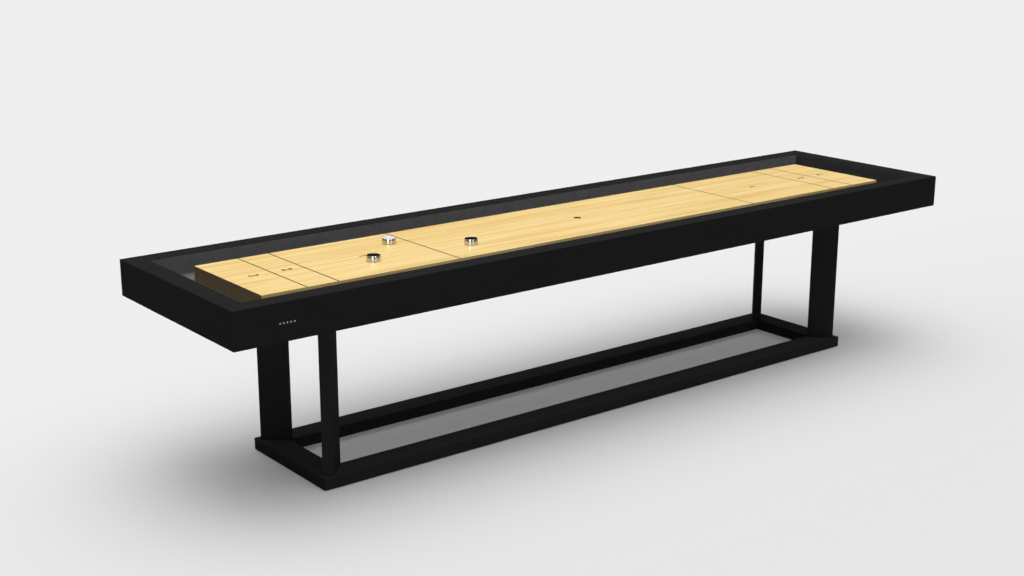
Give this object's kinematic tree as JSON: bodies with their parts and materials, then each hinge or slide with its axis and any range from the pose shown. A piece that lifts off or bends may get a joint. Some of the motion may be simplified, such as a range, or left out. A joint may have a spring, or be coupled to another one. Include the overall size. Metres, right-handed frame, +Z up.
{
  "type": "shuffleboard table",
  "caption": "Long black shuffleboard table with a maple playfield, carpeted gutters and sliding pucks, on diagonal slab legs and a rectangular floor frame.",
  "frame": {"origin": "on the floor under the middle of the table, at the bottom centre of the bounding box", "axes": "+X along the table towards its right-hand end, +Y across it towards the back, +Z up"},
  "size_m": [3.658, 0.866, 0.7973],
  "materials": {
    "black_lacquer": "satin black lacquer on solid wood",
    "gutter_carpet": "short charcoal carpet, glued down",
    "birch_plywood": "raw birch plywood",
    "softwood": "planed softwood",
    "maple": "laminated maple under a clear polymer coat",
    "dark_inlay": "dark dyed inlay under the clear coat",
    "zinc_steel": "zinc plated steel",
    "turnbuckle_steel": "yellow zinc plated steel",
    "brass": "turned brass",
    "black_steel": "black oxide steel",
    "puck_chrome": "polished chrome on steel",
    "cap_black": "gloss black plastic",
    "cap_silver": "gloss silver white plastic",
    "badge_metal": "brushed aluminium, blank"
  },
  "bodies": {
    "table": {"apron_front": "black_lacquer", "apron_right": "black_lacquer", "apron_back": "black_lacquer", "apron_left": "black_lacquer", "rim_front": "black_lacquer", "rim_right": "black_lacquer", "rim_back": "black_lacquer", "rim_left": "black_lacquer", "gutter_wall_front": "birch_plywood", "gutter_wall_right": "birch_plywood", "gutter_wall_back": "birch_plywood", "gutter_wall_left": "birch_plywood", "gutter_floor_front": "birch_plywood", "gutter_floor_right": "birch_plywood", "gutter_floor_back": "birch_plywood", "gutter_floor_left": "birch_plywood", "gutter_carpet_front": "gutter_carpet", "gutter_carpet_right": "gutter_carpet", "gutter_carpet_back": "gutter_carpet", "gutter_carpet_left": "gutter_carpet", "glue_blocks": "softwood", "badge_plate": "badge_metal", "cross_beams": "softwood", "leg_beam_left": "softwood", "leg_beam_right": "softwood", "playfield": "maple", "court_lines": "dark_inlay", "score_digits": "dark_inlay", "centre_inlay": "dark_inlay", "adjuster_brackets": "zinc_steel", "adjuster_rods": "zinc_steel", "adjuster_screws": "zinc_steel", "adjuster_locknuts": "zinc_steel", "base_rail_front": "black_lacquer", "base_rail_right": "black_lacquer", "base_rail_back": "black_lacquer", "base_rail_left": "black_lacquer", "leg_front_left": "black_lacquer", "leg_front_right": "black_lacquer", "leg_back_left": "black_lacquer", "leg_back_right": "black_lacquer", "leg_top_plates": "zinc_steel", "base_corner_plates": "zinc_steel", "leg_end_bolts": "zinc_steel", "plate_screws": "zinc_steel", "leveller_inserts": "brass"},
    "turnbuckle_1": {"turnbuckle_1": "turnbuckle_steel"},
    "turnbuckle_2": {"turnbuckle_2": "turnbuckle_steel"},
    "turnbuckle_3": {"turnbuckle_3": "turnbuckle_steel"},
    "turnbuckle_4": {"turnbuckle_4": "turnbuckle_steel"},
    "leveller_front_left": {"leveller_front_left": "black_steel"},
    "leveller_front_right": {"leveller_front_right": "black_steel"},
    "leveller_back_left": {"leveller_back_left": "black_steel"},
    "leveller_back_right": {"leveller_back_right": "black_steel"},
    "puck_a": {"puck_weight_a": "puck_chrome", "puck_cap_a": "cap_black"},
    "puck_b": {"puck_weight_b": "puck_chrome", "puck_cap_b": "cap_black"},
    "puck_c": {"puck_weight_c": "puck_chrome", "puck_cap_c": "cap_silver"}
  },
  "joints": [
    {"name": "turnbuckle_1_turn", "type": "hinge", "parent": "table", "child": "turnbuckle_1", "pos_m": [-1.05, 0, 0.679], "axis": [0, 1, 0], "range_deg": [-600, 600]},
    {"name": "turnbuckle_2_turn", "type": "hinge", "parent": "table", "child": "turnbuckle_2", "pos_m": [-0.38, 0, 0.679], "axis": [0, 1, 0], "range_deg": [-600, 600]},
    {"name": "turnbuckle_3_turn", "type": "hinge", "parent": "table", "child": "turnbuckle_3", "pos_m": [0.38, 0, 0.679], "axis": [0, 1, 0], "range_deg": [-600, 600]},
    {"name": "turnbuckle_4_turn", "type": "hinge", "parent": "table", "child": "turnbuckle_4", "pos_m": [1.05, 0, 0.679], "axis": [0, 1, 0], "range_deg": [-600, 600]},
    {"name": "leveller_front_left_height", "type": "slide", "parent": "table", "child": "leveller_front_left", "axis": [0, 0, -1], "range_m": [0, 0.012]},
    {"name": "leveller_front_right_height", "type": "slide", "parent": "table", "child": "leveller_front_right", "axis": [0, 0, -1], "range_m": [0, 0.012]},
    {"name": "leveller_back_left_height", "type": "slide", "parent": "table", "child": "leveller_back_left", "axis": [0, 0, -1], "range_m": [0, 0.012]},
    {"name": "leveller_back_right_height", "type": "slide", "parent": "table", "child": "leveller_back_right", "axis": [0, 0, -1], "range_m": [0, 0.012]},
    {"name": "puck_a_slide", "type": "slide", "parent": "table", "child": "puck_a", "axis": [1, 0, 0], "range_m": [-0.53, 0.185]},
    {"name": "puck_b_slide", "type": "slide", "parent": "table", "child": "puck_b", "axis": [1, 0, 0], "range_m": [-0.19, 2.215]},
    {"name": "puck_c_slide", "type": "slide", "parent": "table", "child": "puck_c", "axis": [1, 0, 0], "range_m": [-0.725, 2.455]}
  ]
}
